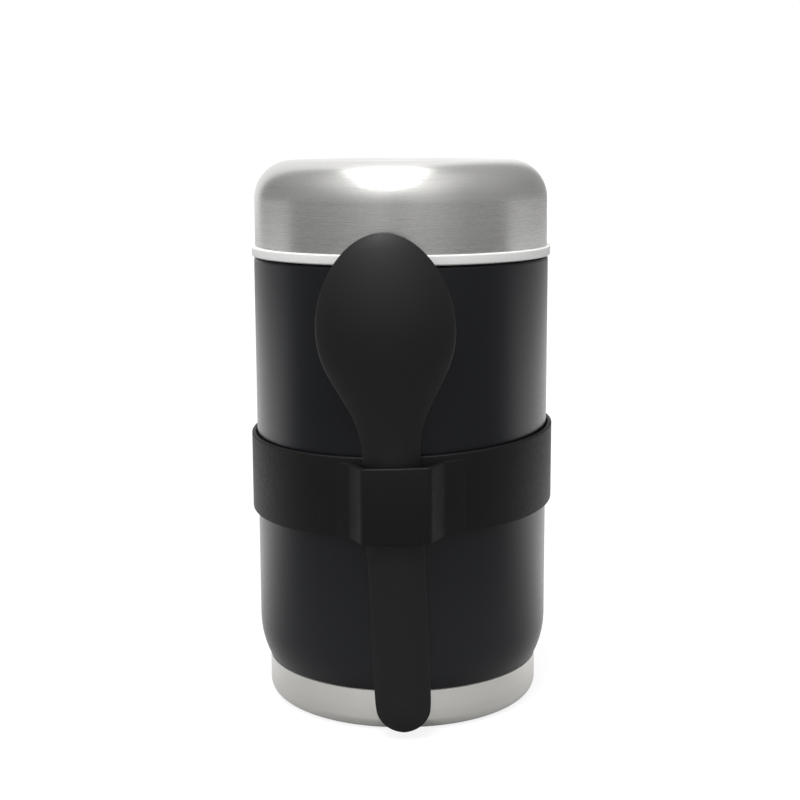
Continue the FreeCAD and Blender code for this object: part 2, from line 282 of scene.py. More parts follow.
# %% Inner vessel
vessel_in_r = vessel_r - STEEL
vessel_floor = vessel_bottom + STEEL
vessel_shoulder = 137 * MM
inner_vessel = spun("inner_vessel_skin", sheet_profile([
    (0, vessel_floor, 0),
    (vessel_in_r, vessel_floor, 8 * MM),
    (vessel_in_r, vessel_shoulder, 4 * MM),
    (mouth_r, vessel_shoulder + 5 * MM, 4 * MM),
    (mouth_r, vessel_top, 0),
], -STEEL), steps=144)
carry(inner_vessel, "jar", "inner_vessel")

# %% [markdown]
# ## Base cup
# The bare steel cup over the foot has a rounded lower edge, a flat ring to stand on and a
# shallow recess. The coated sheet above it starts a hair higher, and that open joint is
# the thin dark line where coat and steel meet.

# %% Base cup
recess_r = 33 * MM
recess = 1.2 * MM
foot_fillet = 3.8 * MM
base_cup = spun("base_cup_skin", sheet_profile([
    (0, recess, 0),
    (recess_r, recess, 0.5 * MM),
    (recess_r + 0.2 * MM, 0, 0.5 * MM),
    (base_r, 0, foot_fillet),
    (base_r, base_top, 0),
], STEEL), steps=192)
carry(base_cup, "jar", "base_cup")

# %% [markdown]
# ## Threads and the spring
# A thread is one small ridge carried round and up at a steady pitch, and the vent's spring
# is a round wire carried the same way. The Screw modifier does that to any closed outline.
# It is applied, and the two open ends are capped. A thread's first and last sections are
# then drawn back into the wall, because a real thread runs out instead of ending square.

# %% Coil helpers


def coil(name, outline, pitch, turns, steps):
    """Carries a closed outline of (radius, height) points round and up the axis."""
    piece = start_point(name, outline[0][0], 0, outline[0][1])
    for before, after in zip(outline, outline[1:]):
        extrude_to((after[0] - before[0], 0, after[1] - before[1]))
    bpy.ops.mesh.select_all(action="SELECT")
    bpy.ops.mesh.edge_face_add()
    bpy.ops.mesh.delete(type="ONLY_FACE")
    bpy.ops.object.mode_set(mode="OBJECT")
    screw = piece.modifiers.new("turns", "SCREW")
    screw.axis = "Z"
    screw.angle = math.tau * turns
    screw.screw_offset = pitch * turns
    screw.steps = steps
    screw.render_steps = steps
    bpy.ops.object.modifier_apply(modifier=screw.name)
    bpy.ops.object.mode_set(mode="EDIT")
    bpy.ops.mesh.select_all(action="DESELECT")
    bpy.ops.mesh.select_mode(type="EDGE")
    bpy.ops.mesh.select_non_manifold(extend=False)
    bpy.ops.mesh.edge_face_add()
    finish_mesh(40)
    print(name, len(piece.data.polygons), "faces")
    return piece


def thread(name, root_r, crest_r, bottom, pitch, turns):
    """A helical ridge between two radii, narrower at its crest, that runs out at both ends."""
    half = 1.1 * MM
    crest_half = 0.3 * half
    outline = [
        (root_r, bottom - half),
        (crest_r, bottom - crest_half),
        (crest_r, bottom + crest_half),
        (root_r, bottom + half),
    ]
    steps = int(96 * turns)
    run_out = 10
    ridge = coil(name, outline, pitch, turns, steps)
    for vertex in ridge.data.vertices:
        section = vertex.index // len(outline)
        share = max(min(section, steps - section, run_out) / run_out, 0.05)
        radius = vertex.co.xy.length
        vertex.co.xy *= (root_r + (radius - root_r) * share) / radius
    return ridge


# %% [markdown]
# ## Four threads
# The cup screws onto the neck, and the stopper into the mouth. Each pair of threads has
# one pitch. On the real jar the ridges interlock. Here the lids lift straight off, so the
# crests are drawn low enough to pass each other with a fraction of a millimetre between.

# %% Neck, cup, stopper and mouth threads
stopper_r, stopper_bottom, stopper_top = size_of("stopper_body")
plug_r = 35.6 * MM
root_depth = 0.1 * MM
outer_pitch = 3.4 * MM
inner_pitch = 3.2 * MM
inner_start = 145 * MM
inner_crest = 0.75 * MM
neck_thread = thread("neck_thread", neck_r - root_depth, neck_r + 1.2 * MM, 148.2 * MM, outer_pitch, 1.5)
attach(neck_thread, "jar")
cup_thread = thread("cup_thread", liner_r + root_depth, liner_r - 1.1 * MM, 148.0 * MM, outer_pitch, 1.4)
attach(cup_thread, "cup")
stopper_thread = thread("stopper_thread", plug_r - root_depth, plug_r + inner_crest,
                        inner_start, inner_pitch, 2)
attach(stopper_thread, "stopper")
mouth_thread = thread("mouth_thread", mouth_r + root_depth, mouth_r - inner_crest,
                      inner_start, inner_pitch, 2)
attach(mouth_thread, "jar")

# %% [markdown]
# ## Stopper
# The stopper is two mouldings: a plug with a flange over the lip, and a notched cover
# that a hand grips. The notches could be drawn into the cover's outline, but cutting them
# from a turned ring with a Boolean modifier keeps its rounded edge, and a small bevel
# softens what the cut leaves sharp.

# %% Stopper body
gasket_r, gasket_bottom, gasket_top = size_of("stopper_gasket")
tube_r = 6 * MM
tube_in_r = tube_r - 1.5 * MM
stem_hole = 2.5 * MM
plug_floor = stopper_bottom + 2 * MM
stopper_body = spun("stopper_body_skin", closed([
    (stem_hole, stopper_bottom, 0),
    (plug_r, stopper_bottom, 1.5 * MM),
    (plug_r, gasket_top, 0),
    (stopper_r, gasket_top, 0.3 * MM),
    (stopper_r, stopper_top, 0.5 * MM),
    (plug_r - plastic, stopper_top, 0),
    (plug_r - plastic, plug_floor, 0),
    (tube_r, plug_floor, 0),
    (tube_r, stopper_top, 0),
    (tube_in_r, stopper_top, 0),
    (tube_in_r, plug_floor, 0),
    (stem_hole, plug_floor, 0),
]), steps=128)
carry(stopper_body, "stopper", "stopper_body")

# %% Stopper cover
grip_r, grip_bottom, grip_top = size_of("stopper_cover")
well_r = 8 * MM
well_floor = grip_bottom + 0.4 * MM
notches = 24
notch_r = 2 * MM
notch_ring = grip_r + 1 * MM
stopper_cover = spun("stopper_cover_skin", closed([
    (tube_in_r, grip_bottom, 0),
    (grip_r, grip_bottom, 0),
    (grip_r, grip_top, 1.5 * MM),
    (well_r + 1.6 * MM, grip_top, 0.6 * MM),
    (well_r, grip_top - 1.0 * MM, 0),
    (well_r, well_floor, 0),
    (tube_in_r, well_floor, 0),
]), steps=144)
cutters = []
for i in range(notches):
    angle = math.tau * i / notches
    spot = (notch_ring * math.cos(angle), notch_ring * math.sin(angle), grip_bottom)
    bpy.ops.object.select_all(action="DESELECT")
    bpy.ops.mesh.primitive_cylinder_add(vertices=32, radius=notch_r, depth=20 * MM, location=spot)
    cutters.append(bpy.context.object)
select_only(*reversed(cutters))
bpy.ops.object.join()
notch_tool = bpy.context.object
bpy.ops.object.transform_apply(location=True, rotation=True, scale=True)
cut = stopper_cover.modifiers.new("notches", "BOOLEAN")
cut.object = notch_tool
cut.solver = "EXACT"
soften = stopper_cover.modifiers.new("soften", "BEVEL")
soften.width = 0.25 * MM
soften.segments = 2
soften.limit_method = "ANGLE"
select_only(stopper_cover)
bpy.ops.object.modifier_apply(modifier=cut.name)
bpy.ops.object.modifier_apply(modifier=soften.name)
bpy.ops.object.shade_smooth_by_angle(angle=math.radians(35))
bpy.data.objects.remove(notch_tool)
carry(stopper_cover, "stopper", "stopper_cover")

# %% [markdown]
# ## Gasket and vent button
# The gasket is a flat silicone ring under the flange, drawn with soft edges. The button
# is a low disc with a raised ring for the finger, and a socket below for its stem.

# %% Gasket and button
soft_fillet = 0.4 * MM
gasket_in_r = plug_r + FIT
gasket = spun("stopper_gasket_skin", closed([
    (gasket_in_r, (gasket_bottom + gasket_top) / 2, 0),
    (gasket_in_r, gasket_bottom, soft_fillet),
    (gasket_r, gasket_bottom, soft_fillet),
    (gasket_r, gasket_top, soft_fillet),
    (gasket_in_r, gasket_top, soft_fillet),
]), steps=128, step_deg=22.5)
carry(gasket, "stopper", "stopper_gasket")
button_r, button_bottom, button_top = size_of("vent_button")
stem_r = 1.55 * MM
socket_top = button_bottom + 1.6 * MM
dish_floor = button_top - 0.5 * MM
vent_button = spun("vent_button_skin", closed([
    (stem_r, button_bottom, 0),
    (button_r, button_bottom, soft_fillet),
    (button_r, button_top, 0.9 * MM),
    (button_r - 2.2 * MM, button_top, soft_fillet),
    (button_r - 2.6 * MM, dish_floor, soft_fillet),
    (0, dish_floor, 0),
    (0, socket_top, 0),
    (stem_r, socket_top, 0),
]), steps=72)
carry(vent_button, "vent", "vent_button")

# %% [markdown]
# ## Vent spring
# The spring round the stem pushes the button up. It is a wire coil whose foot stays on
# the stopper's floor, and it is carried with the stopper.

# %% Vent spring
spring_low, spring_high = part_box("vent_spring")
wire_r = 0.35 * MM
coil_r = spring_high.x - wire_r
spring_turns = 5
spring_height = spring_high.z - spring_low.z - 2 * wire_r
wire_sides = 12
wire_outline = []
for i in range(wire_sides):
    angle = math.tau * i / wire_sides
    wire_outline.append((coil_r + wire_r * math.cos(angle), spring_low.z + wire_r * (1 + math.sin(angle))))
vent_coil = coil("vent_spring_coil", wire_outline, spring_height / spring_turns, spring_turns, 180)
carry(vent_coil, "stopper", "vent_spring")
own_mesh(vent_coil)

# %% [markdown]
# ## Strap
# The strap is silicone in two layers: a band all the way round, and in front a second
# layer that stands off the band to make the pocket. The band is a turned ring. It rises to
# the right and to the back, so its heights are sheared and its sides stay upright. The
# second layer is a path seen from above, pulled up to a wall and given its thickness.

# %% Strap band
strap_gap = 0.3 * MM
strap_wall = 1.5 * MM
strap_height = 25.3 * MM
strap_mid = 77.1 * MM
strap_bottom = strap_mid - strap_height / 2
strap_top = strap_mid + strap_height / 2
rise_right = 0.0285
rise_back = 0.03
strap_slant = Matrix.Identity(4)
strap_slant[2][0] = rise_right
strap_slant[2][1] = rise_back
band_in = body_r + strap_gap
band_out = band_in + strap_wall
strap = spun("strap_skin", closed([
    (band_in, strap_mid, 0),
    (band_in, strap_bottom, 0.5 * MM),
    (band_out, strap_bottom, 0.6 * MM),
    (band_out, strap_top, 0.6 * MM),
    (band_in, strap_top, 0.5 * MM),
]), steps=256, step_deg=22.5)

# %% Strap pocket
pocket_mid_x = 0.4 * MM
pocket_half = 9.8 * MM
pocket_front = -55.35 * MM
pocket_root = 13.6 * MM
pocket_end = 20.5 * MM
pocket_lower = 1.8 * MM
pocket_wall = 1.6 * MM
root_y = -47.7 * MM
sunk_r = band_out - 0.9 * MM
end_y = -math.sqrt(sunk_r ** 2 - pocket_end ** 2)
front_crown = 0.45 * MM
left_side = [
    (-pocket_end, end_y, 0),
    (-pocket_root, root_y, 4.0 * MM),
    (-pocket_half, pocket_front + front_crown, 1.8 * MM),
]
right_side = [(-x, y, fillet) for x, y, fillet in reversed(left_side)]
pocket_corners = left_side + [(0, pocket_front, 40 * MM)] + right_side
pocket_path = rounded([(pocket_mid_x + x, y, fillet) for x, y, fillet in pocket_corners], 10)
pocket_bottom = strap_bottom + 0.02 * MM
pocket = start_point("pocket", pocket_path[0].x, pocket_path[0].y, pocket_bottom)
for before, after in zip(pocket_path, pocket_path[1:]):
    extrude_to((after.x - before.x, after.y - before.y, 0))
bpy.ops.mesh.select_all(action="SELECT")
extrude_to((0, 0, strap_height - pocket_lower))
bpy.ops.mesh.select_all(action="SELECT")
bpy.ops.mesh.normals_make_consistent(inside=False)
bpy.ops.object.mode_set(mode="OBJECT")
wall = pocket.modifiers.new("wall", "SOLIDIFY")
wall.thickness = pocket_wall
wall.offset = 0
wall.use_even_offset = True
soft_edge = pocket.modifiers.new("soft_edge", "BEVEL")
soft_edge.width = 0.55 * MM
soft_edge.segments = 3
soft_edge.limit_method = "ANGLE"
soft_edge.angle_limit = math.radians(60)
bpy.ops.object.modifier_apply(modifier=wall.name)
bpy.ops.object.modifier_apply(modifier=soft_edge.name)
select_only(pocket, strap)
bpy.ops.object.join()
strap.data.transform(strap_slant)
bpy.ops.object.shade_smooth_by_angle(angle=math.radians(50))
carry(strap, "strap_body", "strap")

# %% [markdown]
# ## Spoon
# The spoon is one moulding whose width and depth change all along it. Its section is a
# crescent: an arched back, a small square edge and a hollow front. The section is drawn
# once at the handle's end and extruded from station to station, and at each one its
# points go where the width, height and hollow there put them. Subdivision then rounds it,
# which costs the bowl a little width, so the sections are drawn that much wider.

# %% Spoon shape along its length, in millimetres
spoon_x = -0.55 * MM
spoon_face = -49.8 * MM
spoon_pivot = 75 * MM
spoon_tilt = math.radians(-2.38)
spoon_bottom = -72.8
spoon_tip = 80.4
bowl_widest = 53.5
bowl_half = 20.85
neck_top = 13.0
handle_half = 8.75
handle_thick = 4.0
bowl_depth = 8.8
bowl_wall = 2.0
spoon_edge = 1.2
spoon_lip = 0.9
handle_hollow = 0.15
rounding_loss = 0.25
handle_share = 0.3


def ease(share):
    """Eased step from 0 to 1, flat at both ends."""
    t = min(max(share, 0), 1)
    return t ** 3 * (10 - 15 * t + 6 * t * t)


def spoon_half_width(s):
    """Half the spoon's width at a station: round end, handle, neck, then an egg-shaped bowl."""
    if s > bowl_widest:
        share = (s - bowl_widest) / (spoon_tip - bowl_widest)
        return bowl_half * math.sqrt(1 - share ** 1.7)
    end_centre = spoon_bottom + handle_half
    if s < end_centre:
        return math.sqrt(max(handle_half ** 2 - (end_centre - s) ** 2, 0))
    share = (s - neck_top) / (bowl_widest - neck_top)
    return handle_half + (bowl_half - handle_half) * ease(share)


def spoon_height(s):
    """How far the back stands off the spoon's front plane at a station."""
    if s > bowl_widest:
        share = (s - bowl_widest) / (spoon_tip - bowl_widest)
        return spoon_edge + (bowl_depth - spoon_edge) * (1 - share ** 1.5) ** 0.7
    end = ease((s - spoon_bottom + 2) / 8)
    handle = spoon_edge + (handle_thick - spoon_edge) * end
    share = (s - neck_top) / (bowl_widest - neck_top)
    return handle + (bowl_depth - handle_thick) * ease(share)


def spoon_section(s, back_points=13, front_points=9):
    """Points round the crescent at a station, in millimetres: across and towards the front."""
    spread = handle_share + (1 - handle_share) * ease((s - neck_top) / 30)
    half = max(spoon_half_width(s), 0.3) + rounding_loss * spread
    back = spoon_height(s)
    hollow = handle_hollow
    if s > neck_top:
        fade = 1 - ease((s - neck_top) / 12)
        solid = bowl_wall + (handle_thick - bowl_wall - handle_hollow) * fade
        hollow = max(back - solid, handle_hollow)
    lip = min(spoon_lip, half * 0.3)
    edge = spoon_edge * 0.8
    points = []
    for i in range(back_points):
        across = -math.cos(math.pi * i / (back_points - 1))
        rise = (1 - across * across) ** 0.85
        points.append((half * across, -edge - (back - edge) * rise))
    for i in range(front_points):
        across = math.cos(math.pi * i / (front_points - 1))
        rise = 1 - across * across
        points.append(((half - lip) * across, -hollow * rise))
    return points


# %% Spoon
end_centre = spoon_bottom + handle_half
end_angles = (6, 14, 24, 36, 50, 65, 80)
tip_angles = range(9, 90, 9)
stations = [end_centre - handle_half * math.cos(math.radians(angle)) for angle in end_angles]
stations += [-58, -50, -40, -30, -20, -10, 0, 8]
stations += [neck_top + (bowl_widest - neck_top) * i / 12 for i in range(13)]
stations += [bowl_widest + (spoon_tip - bowl_widest) * math.sin(math.radians(angle)) for angle in tip_angles]
stations.append(spoon_tip - 0.05)
section = spoon_section(stations[0])
spoon = start_point("spoon_skin", section[0][0] * MM, section[0][1] * MM, stations[0] * MM)
for before, after in zip(section, section[1:]):
    extrude_to(((after[0] - before[0]) * MM, (after[1] - before[1]) * MM, 0))
bpy.ops.mesh.select_all(action="SELECT")
bpy.ops.mesh.edge_face_add()
for before, after in zip(stations, stations[1:]):
    extrude_to((0, 0, (after - before) * MM))
    old = spoon_section(before)
    new = spoon_section(after)
    mesh = bmesh.from_edit_mesh(spoon.data)
    for v in mesh.verts:
        if not v.select:
            continue
        x, y = v.co.x / MM, v.co.y / MM
        k = min(range(len(old)), key=lambda i: (old[i][0] - x) ** 2 + (old[i][1] - y) ** 2)
        v.co.x = new[k][0] * MM
        v.co.y = new[k][1] * MM
    bmesh.update_edit_mesh(spoon.data)
finish_mesh(60)
rounding = spoon.modifiers.new("rounding", "SUBSURF")
rounding.levels = 2
rounding.render_levels = 2
bpy.ops.object.modifier_apply(modifier=rounding.name)
stand_up = Matrix.Translation((spoon_x, spoon_face, spoon_pivot)) @ Matrix.Rotation(spoon_tilt, 4, "Y")
spoon.data.transform(stand_up)
carry(spoon, "spoon_body", "spoon")
print("spoon", len(spoon.data.polygons), "faces")

# %% [markdown]
# ## Materials
# Every finish is a small node tree on Object coordinates, which are the jar's own metres,
# so a grain stays where it is on the piece. The first helper starts a material and hands
# back the material, its node tree and its shader. The others add one kind of node each.

# %% Material helpers


def new_material(name, color, roughness, metallic=0.0):
    """A material with a principled shader, ready for its pattern."""
    material = bpy.data.materials.new(name)
    material.use_nodes = True
    tree = material.node_tree
    shader = tree.nodes["Principled BSDF"]
    shader.inputs["Base Color"].default_value = (*color, 1)
    shader.inputs["Roughness"].default_value = roughness
    shader.inputs["Metallic"].default_value = metallic
    return material, tree, shader


def math_node(tree, operation, first, second=None):
    """A sum on numbers or on other nodes' results."""
    node = tree.nodes.new("ShaderNodeMath")
    node.operation = operation
    for socket, value in zip(node.inputs, (first, second)):
        if value is None:
            continue
        if isinstance(value, (int, float)):
            socket.default_value = value
        else:
            tree.links.new(value, socket)
    return node.outputs[0]


def flat_distance(tree, x, y):
    """Distance from the jar's axis."""
    squares = [math_node(tree, "MULTIPLY", way, way) for way in (x, y)]
    return math_node(tree, "SQRT", math_node(tree, "ADD", *squares))


def noise(tree, vector, scale, detail=2.0, roughness=0.5):
    """A cloudy pattern from 0 to 1, with this many clouds to the metre."""
    node = tree.nodes.new("ShaderNodeTexNoise")
    node.inputs["Scale"].default_value = scale
    node.inputs["Detail"].default_value = detail
    node.inputs["Roughness"].default_value = roughness
    tree.links.new(vector, node.inputs["Vector"])
    return node.outputs["Fac"]


def ramp(tree, value, low, high, at=(0.3, 0.7)):
    """Maps a pattern to a range, with both ends held."""
    node = tree.nodes.new("ShaderNodeMapRange")
    node.inputs["From Min"].default_value = at[0]
    node.inputs["From Max"].default_value = at[1]
    node.inputs["To Min"].default_value = low
    node.inputs["To Max"].default_value = high
    tree.links.new(value, node.inputs["Value"])
    return node.outputs["Result"]


def mix_color(tree, factor, first, second):
    """A colour between two, by a pattern."""
    node = tree.nodes.new("ShaderNodeMix")
    node.data_type = "RGBA"
    tree.links.new(factor, node.inputs["Factor"])
    node.inputs["A"].default_value = (*first, 1)
    node.inputs["B"].default_value = (*second, 1)
    return node.outputs["Result"]


def bump(tree, shader, height, strength, distance):
    """Makes a pattern stand out of the surface by a distance in metres."""
    node = tree.nodes.new("ShaderNodeBump")
    node.inputs["Strength"].default_value = strength
    node.inputs["Distance"].default_value = distance
    tree.links.new(height, node.inputs["Height"])
    tree.links.new(node.outputs["Normal"], shader.inputs["Normal"])


def object_coordinates(tree):
    return tree.nodes.new("ShaderNodeTexCoord").outputs["Object"]


def set_shader(material, **values):
    """Sets constant values on a material's shader: specular_ior_level=0.3, metallic=1.0."""
    sockets = material.node_tree.nodes["Principled BSDF"].inputs
    by_name = {socket.name.lower().replace(" ", "_"): socket for socket in sockets}
    for name, value in values.items():
        by_name[name].default_value = value


# %% [markdown]
# ## Brushed steel
# The steel was brushed while it turned, so its lines run round the jar. Read along the
# surface, from the middle of the top out to the edge and down the side, the brightness
# changes quickly; read round the axis, it hardly changes. Radius less height is a number
# that grows all the way along that path, so it drives the fine direction of the noise.
# The shader's anisotropy stretches highlights across those lines, as brushing does.

# %% Brushed steel


def brushed_steel(name, color, roughness, grain, anisotropy):
    """Steel with fine lines round the axis; grain is how far its colour strays."""
    material, tree, shader = new_material(name, color, roughness, 1.0)
    place = object_coordinates(tree)
    split = tree.nodes.new("ShaderNodeSeparateXYZ")
    tree.links.new(place, split.inputs[0])
    x, y, z = split.outputs
    stretch = 60.0
    radius = flat_distance(tree, x, y)
    along = math_node(tree, "MULTIPLY", math_node(tree, "SUBTRACT", radius, z), stretch)
    joined = tree.nodes.new("ShaderNodeCombineXYZ")
    tree.links.new(x, joined.inputs[0])
    tree.links.new(y, joined.inputs[1])
    tree.links.new(along, joined.inputs[2])
    fine = noise(tree, joined.outputs[0], 130.0, 4.0, 0.7)
    broad = noise(tree, joined.outputs[0], 22.0, 2.0)
    both = math_node(tree, "ADD", math_node(tree, "MULTIPLY", fine, 0.7),
                     math_node(tree, "MULTIPLY", broad, 0.3))
    dark = tuple(c * (1 - grain) for c in color)
    light = tuple(min(c * (1 + grain), 1) for c in color)
    tree.links.new(mix_color(tree, ramp(tree, both, 0, 1), dark, light), shader.inputs["Base Color"])
    tree.links.new(ramp(tree, both, roughness - 0.07, roughness + 0.07), shader.inputs["Roughness"])
    bump(tree, shader, fine, 0.12, 0.00004)
    shader.inputs["Anisotropic"].default_value = anisotropy
    shader.inputs["Anisotropic Rotation"].default_value = 0.25
    around = tree.nodes.new("ShaderNodeTangent")
    around.direction_type = "RADIAL"
    around.axis = "Z"
    tree.links.new(around.outputs[0], shader.inputs["Tangent"])
    return material


lid_steel = brushed_steel("lid_steel", (0.60, 0.595, 0.58), 0.27, 0.045, 0.45)
base_steel = brushed_steel("base_steel", (0.82, 0.81, 0.78), 0.38, 0.04, 0.5)
vessel_steel = brushed_steel("vessel_steel", (0.58, 0.57, 0.55), 0.30, 0.04, 0.4)
spring_steel = brushed_steel("spring_steel", (0.55, 0.55, 0.55), 0.25, 0.03, 0.2)

# %% [markdown]
# ## Powder coat
# The dark coat is baked powder: nearly black with a little blue, satin, with an orange
# peel too fine to see as dots but enough to soften a reflection. It covers the shoulder
# and stops at the neck, so the same sheet is bare steel above that and inside the base.

# %% Powder coat


def powder_coat():
    """The satin coat, with its tint and its gloss a little uneven."""
    material, tree, shader = new_material("navy_coat", (0.003, 0.0035, 0.006), 0.32)
    place = object_coordinates(tree)
    peel = noise(tree, place, 1400.0, 2.0, 0.6)
    cloud = noise(tree, place, 30.0, 2.0)
    darker = (0.0025, 0.003, 0.0052)
    lighter = (0.0035, 0.004, 0.0068)
    tint = mix_color(tree, ramp(tree, cloud, 0, 1), darker, lighter)
    tree.links.new(tint, shader.inputs["Base Color"])
    tree.links.new(ramp(tree, peel, 0.28, 0.36), shader.inputs["Roughness"])
    bump(tree, shader, peel, 0.15, 0.00003)
    shader.inputs["Specular IOR Level"].default_value = 0.36
    return material


navy_coat = powder_coat()

# %% [markdown]
# ## Plastics and silicone
# Moulded plastic has a fine even texture from its tool. Silicone is duller and picks up a
# little lint, so its pattern is softer and its gloss lower. One helper serves both, with
# the grain's scale and depth as its settings.

# %% Moulded materials


def moulded(name, color, spread, roughness, grain_scale, grain_depth):
    """A moulded finish: a clouded colour and a fine grain, its depth in metres."""
    material, tree, shader = new_material(name, color, roughness)
    place = object_coordinates(tree)
    grain = noise(tree, place, grain_scale, 3.0, 0.6)
    cloud = noise(tree, place, 40.0, 3.0)
    low = tuple(c * (1 - spread) for c in color)
    high = tuple(min(c * (1 + spread), 1) for c in color)
    tree.links.new(mix_color(tree, ramp(tree, cloud, 0, 1), low, high), shader.inputs["Base Color"])
    tree.links.new(ramp(tree, grain, roughness - 0.05, roughness + 0.05), shader.inputs["Roughness"])
    bump(tree, shader, grain, 0.25, grain_depth)
    return material


white_plastic = moulded("white_plastic", (0.80, 0.80, 0.79), 0.01, 0.5, 1500.0, 0.00002)
strap_silicone = moulded("strap_silicone", (0.0026, 0.0030, 0.0026), 0.12, 0.54, 900.0, 0.00004)
spoon_nylon = moulded("spoon_nylon", (0.0008, 0.0009, 0.0008), 0.10, 0.56, 1800.0, 0.00003)
stopper_plastic = moulded("stopper_plastic", (0.030, 0.030, 0.033), 0.08, 0.42, 1500.0, 0.00003)
button_silicone = moulded("button_silicone", (0.28, 0.29, 0.30), 0.05, 0.55, 1200.0, 0.00003)
clear_silicone = moulded("clear_silicone", (0.62, 0.62, 0.60), 0.03, 0.45, 900.0, 0.00002)
set_shader(strap_silicone, specular_ior_level=0.22)
set_shader(spoon_nylon, specular_ior_level=0.38)
set_shader(clear_silicone, transmission_weight=0.25)
print("plastics and silicones made")

# %% [markdown]
# ## Ring mark on the spoon
# A pin that pushes a moulding out of its tool leaves a faint ring. It is far too shallow
# to model, so a second bump draws it over the grain, by the distance from its centre.

# %% Ring mark


def press_ring(material, place, radius, line, depth):
    """Adds a shallow ring pressed into a material round a place, over its grain."""
    tree = material.node_tree
    grain = next(node for node in tree.nodes if node.bl_idname == "ShaderNodeBump")
    gap = tree.nodes.new("ShaderNodeVectorMath")
    gap.operation = "DISTANCE"
    gap.inputs[1].default_value = place
    tree.links.new(object_coordinates(tree), gap.inputs[0])
    off_line = math_node(tree, "ABSOLUTE", math_node(tree, "SUBTRACT", gap.outputs["Value"], radius))
    ring = tree.nodes.new("ShaderNodeBump")
    ring.inputs["Distance"].default_value = depth
    tree.links.new(ramp(tree, off_line, 0, 1, (0, line)), ring.inputs["Height"])
    tree.links.new(grain.outputs["Normal"], ring.inputs["Normal"])
    tree.links.new(ring.outputs["Normal"], tree.nodes["Principled BSDF"].inputs["Normal"])


ring_centre = (1.45 * MM, spoon_face - handle_thick * MM, 15 * MM)
press_ring(spoon_nylon, ring_centre, radius=2.7 * MM, line=0.25 * MM, depth=0.00006)

# %% [markdown]
# ## Finishes inside the jar
# Foam, foil, solder and the getter are out of sight until the jar is taken apart. They
# use the same helper: foil and solder are moulded grain made metallic.

# %% Inner finishes
foam = moulded("foam", (0.74, 0.70, 0.58), 0.06, 0.9, 700.0, 0.0003)
foil = moulded("foil", (0.78, 0.78, 0.79), 0.05, 0.22, 300.0, 0.0002)
solder = moulded("solder", (0.42, 0.42, 0.43), 0.10, 0.45, 600.0, 0.0001)
getter_metal = moulded("getter", (0.14, 0.14, 0.145), 0.20, 0.75, 1500.0, 0.0001)
set_shader(foil, metallic=1.0)
set_shader(solder, metallic=1.0)
set_shader(getter_metal, metallic=0.6)
print("inner finishes made")

# %% [markdown]
# ## Dressing the pieces
# A piece gets one slot for each of its finishes. The outer shell has two, coat and bare
# steel, and its faces are shared out by their height. A solid that keeps its own mesh,
# such as the vent's stem inside the stopper, gets its finish in the same way.

# %% Dress


def dress(piece, *materials):
    """Gives a piece these materials, one slot each."""
    piece.data.materials.clear()
    for material in materials:
        piece.data.materials.append(material)


dress(cup_shell, lid_steel)
dress(base_cup, base_steel)
dress(outer_shell, navy_coat, vessel_steel)
coat_top = shoulder_z + 0.5 * MM
for face in outer_shell.data.polygons:
    if face.center.z > coat_top or face.center.z < base_joint:
        face.material_index = 1
for piece in (inner_vessel, neck_thread, mouth_thread):
    dress(piece, vessel_steel)
dress(vent_coil, spring_steel)
for piece in (cup_liner, cup_thread):
    dress(piece, white_plastic)
for piece in (stopper_body, stopper_cover, stopper_thread):
    dress(piece, stopper_plastic)
dress(gasket, clear_silicone)
dress(vent_button, button_silicone)
dress(strap, strap_silicone)
dress(spoon, spoon_nylon)
for name, material in {
    "radiation_foil": foil, "vacuum_plate": vessel_steel, "vacuum_seal": solder,
    "getter_holder": vessel_steel, "getter": getter_metal, "cup_foam": foam, "stopper_foam": foam,
    "vent_stem": stopper_plastic, "vent_seal": clear_silicone,
}.items():
    dress(nodes[name], material)
print("dressed", len(nodes), "nodes and the new pieces")

# %% [markdown]
# ## Floor
# The jar stands on white. The floor is a wide disc whose material glows only for rays
# that come from the camera, so it looks white and still keeps the jar's shadow. What a
# reflection sees of it is dimmer: painted light on a table, fading away from the jar,
# with a painted shadow round the foot, and behind the jar a white sweep, which lights
# the coat's two edges.

# %% Floor
bpy.ops.object.select_all(action="DESELECT")
bpy.ops.mesh.primitive_circle_add(vertices=64, radius=3.0, fill_type="NGON", location=(0, 0, -0.2 * MM))
floor = bpy.context.object
floor.name = "floor"
floor_material, floor_tree, floor_shader = new_material("floor_white", (0.16, 0.16, 0.16), 0.9)
set_shader(floor_material, specular_ior_level=0.0, emission_color=(1, 1, 1, 1))
floor_place = floor_tree.nodes.new("ShaderNodeSeparateXYZ")
floor_tree.links.new(object_coordinates(floor_tree), floor_place.inputs[0])
across, back = floor_place.outputs[:2]
away = flat_distance(floor_tree, across, back)
# Painted light and shade for reflections: a glow that fades away from the jar, and a painted shadow where it
# drops to dark round the foot.
painted_light_and_foot_shade = math_node(floor_tree, "MULTIPLY", ramp(floor_tree, away, 0.30, 0.0, (0.12, 0.40)),
                  ramp(floor_tree, away, 0.0, 1.0, (base_r, base_r + 15 * MM)))
sweep = math_node(floor_tree, "MULTIPLY", ramp(floor_tree, back, 0.0, 1.2, (-0.06, 0.12)),
                  ramp(floor_tree, away, 1.0, 0.3, (0.7, 1.6)))

# %% What each ray sees of the floor
white_floor = 0.84
rays = floor_tree.nodes.new("ShaderNodeLightPath")
mirrored = math_node(floor_tree, "MULTIPLY", rays.outputs["Is Glossy Ray"],
                     math_node(floor_tree, "MAXIMUM", painted_light_and_foot_shade, sweep))
looked_at = math_node(floor_tree, "MAXIMUM", rays.outputs["Is Camera Ray"],
                      rays.outputs["Is Transmission Ray"])
glow = math_node(floor_tree, "MAXIMUM", math_node(floor_tree, "MULTIPLY", looked_at, white_floor), mirrored)
floor_tree.links.new(glow, floor_shader.inputs["Emission Strength"])
dress(floor, floor_material)
print("floor", round(floor.dimensions.x, 2), "m across")

